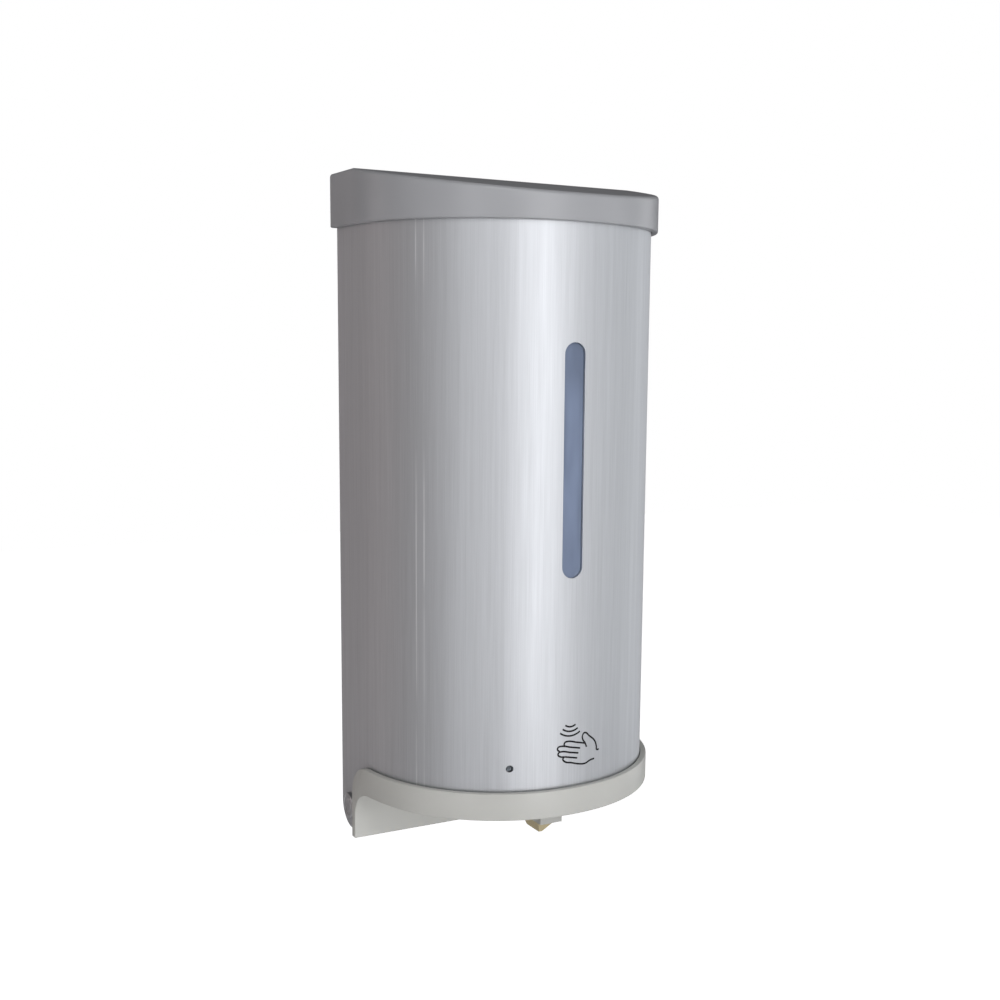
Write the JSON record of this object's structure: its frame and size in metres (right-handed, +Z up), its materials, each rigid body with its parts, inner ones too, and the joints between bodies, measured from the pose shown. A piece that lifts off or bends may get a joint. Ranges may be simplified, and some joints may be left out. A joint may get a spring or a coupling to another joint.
{
  "type": "wall mounted soap dispenser",
  "caption": "Touch-free wall soap dispenser: curved steel cover with a plastic cap and bezel that swings down from a back plate with tank, gear pump, motor and batteries.",
  "frame": {"origin": "middle of the face of the back plate that rests on the wall, halfway up the whole dispenser", "axes": "+Z up, +Y into the wall, -Y out of the front, +X to the right of someone facing the front"},
  "size_m": [0.1296, 0.0929, 0.275],
  "materials": {
    "brushed_steel": "stainless steel sheet brushed up and down",
    "cap_plastic": "silver-grey moulded plastic, satin",
    "bezel_plastic": "pale grey moulded plastic, satin",
    "tinted_plastic": "blue-grey tinted clear plastic",
    "clear_resin": "clear resin",
    "bright_steel": "zinc-plated steel, bright",
    "lock_chrome": "bright chrome plating",
    "inner_plastic": "light grey ABS, fine grain",
    "gear_plastic": "natural acetal, slightly waxy",
    "milky_plastic": "milky translucent polyethylene",
    "grey_rubber": "dark grey rubber",
    "tan_rubber": "tan silicone rubber, dull",
    "dark_plastic": "near-black ABS, fine grain",
    "cell_wrap": "metal cell under a dark printed sleeve",
    "brass": "machined brass",
    "motor_can": "drawn plated steel can",
    "board_green": "circuit board under green solder resist"
  },
  "bodies": {
    "chassis": {"back_plate": "inner_plastic", "latch_catch": "bright_steel", "catch_screw": "bright_steel", "soap_tank": "milky_plastic", "lid_pin": "bright_steel", "outlet_seal": "grey_rubber", "base_plate": "inner_plastic", "drive_cover": "inner_plastic", "battery_door": "inner_plastic", "battery_tray": "dark_plastic", "battery_cell_1": "cell_wrap", "battery_cell_2": "cell_wrap", "battery_cell_3": "cell_wrap", "battery_cell_4": "cell_wrap", "battery_spring_1": "bright_steel", "battery_spring_2": "bright_steel", "battery_spring_3": "bright_steel", "battery_spring_4": "bright_steel", "pump_body": "inner_plastic", "pump_cover": "inner_plastic", "compound_axle": "bright_steel", "motor": "motor_can", "gear_plate": "inner_plastic", "gear_plate_screw_1": "bright_steel", "gear_plate_screw_2": "bright_steel", "gear_plate_screw_3": "bright_steel", "base_screw_1": "bright_steel", "base_screw_2": "bright_steel", "base_screw_3": "bright_steel", "inlet_tube": "milky_plastic", "outlet_tube": "milky_plastic", "nozzle_holder": "bezel_plastic", "nozzle_tip": "tan_rubber", "control_board": "board_green", "ir_emitter": "clear_resin", "ir_receiver": "dark_plastic", "sensor_window": "dark_plastic", "status_led": "clear_resin", "switch_body": "dark_plastic"},
    "cover": {"steel_cover": "brushed_steel", "top_cap": "cap_plastic", "bottom_bezel": "bezel_plastic", "window_lens": "tinted_plastic", "indicator_lens": "clear_resin", "bezel_screw_left": "bright_steel", "bezel_screw_right": "bright_steel", "hinge_pin_left": "bright_steel", "hinge_pin_right": "bright_steel"},
    "lock": {"lock_barrel": "lock_chrome", "lock_cam": "bright_steel", "lock_screw": "bright_steel"},
    "lid": {"tank_lid": "inner_plastic", "lid_seal": "grey_rubber"},
    "pump_drive": {"drive_rotor": "gear_plastic", "output_gear": "gear_plastic"},
    "idler": {"idler_rotor": "gear_plastic"},
    "compound": {"compound_gear": "gear_plastic"},
    "motor_shaft": {"motor_pinion": "brass"},
    "switch": {"switch_knob": "dark_plastic"}
  },
  "joints": [
    {"name": "cover_hinge", "type": "hinge", "parent": "chassis", "child": "cover", "pos_m": [0, -0.011, -0.1265], "axis": [1, 0, 0], "range_deg": [0, 80]},
    {"name": "lock_turn", "type": "hinge", "parent": "cover", "child": "lock", "pos_m": [0, -0.013, 0.1275], "axis": [0, 0, -1], "range_deg": [0, 90]},
    {"name": "lid_hinge", "type": "hinge", "parent": "chassis", "child": "lid", "pos_m": [-0.021, -0.04, 0.0841], "axis": [0, -1, 0], "range_deg": [0, 85]},
    {"name": "pump_spin", "type": "hinge", "parent": "chassis", "child": "pump_drive", "pos_m": [0.0075, -0.04, -0.0875], "axis": [0, 0, 1], "continuous": true},
    {"name": "idler_spin", "type": "hinge", "parent": "chassis", "child": "idler", "pos_m": [-0.0075, -0.04, -0.0975], "axis": [0, 0, 1], "continuous": true},
    {"name": "compound_spin", "type": "hinge", "parent": "chassis", "child": "compound", "pos_m": [0.02221, -0.02766, -0.0805], "axis": [0, 0, 1], "continuous": true},
    {"name": "motor_spin", "type": "hinge", "parent": "chassis", "child": "motor_shaft", "pos_m": [0.04025, -0.03423, -0.0775], "axis": [0, 0, 1], "continuous": true},
    {"name": "switch_slide", "type": "slide", "parent": "chassis", "child": "switch", "axis": [1, 0, 0], "range_m": [0, 0.0052]}
  ],
  "couplings": [
    {"joint": "idler_spin", "follows": "pump_spin", "ratio": -1},
    {"joint": "compound_spin", "follows": "pump_spin", "ratio": -3},
    {"joint": "motor_spin", "follows": "pump_spin", "ratio": 9}
  ]
}
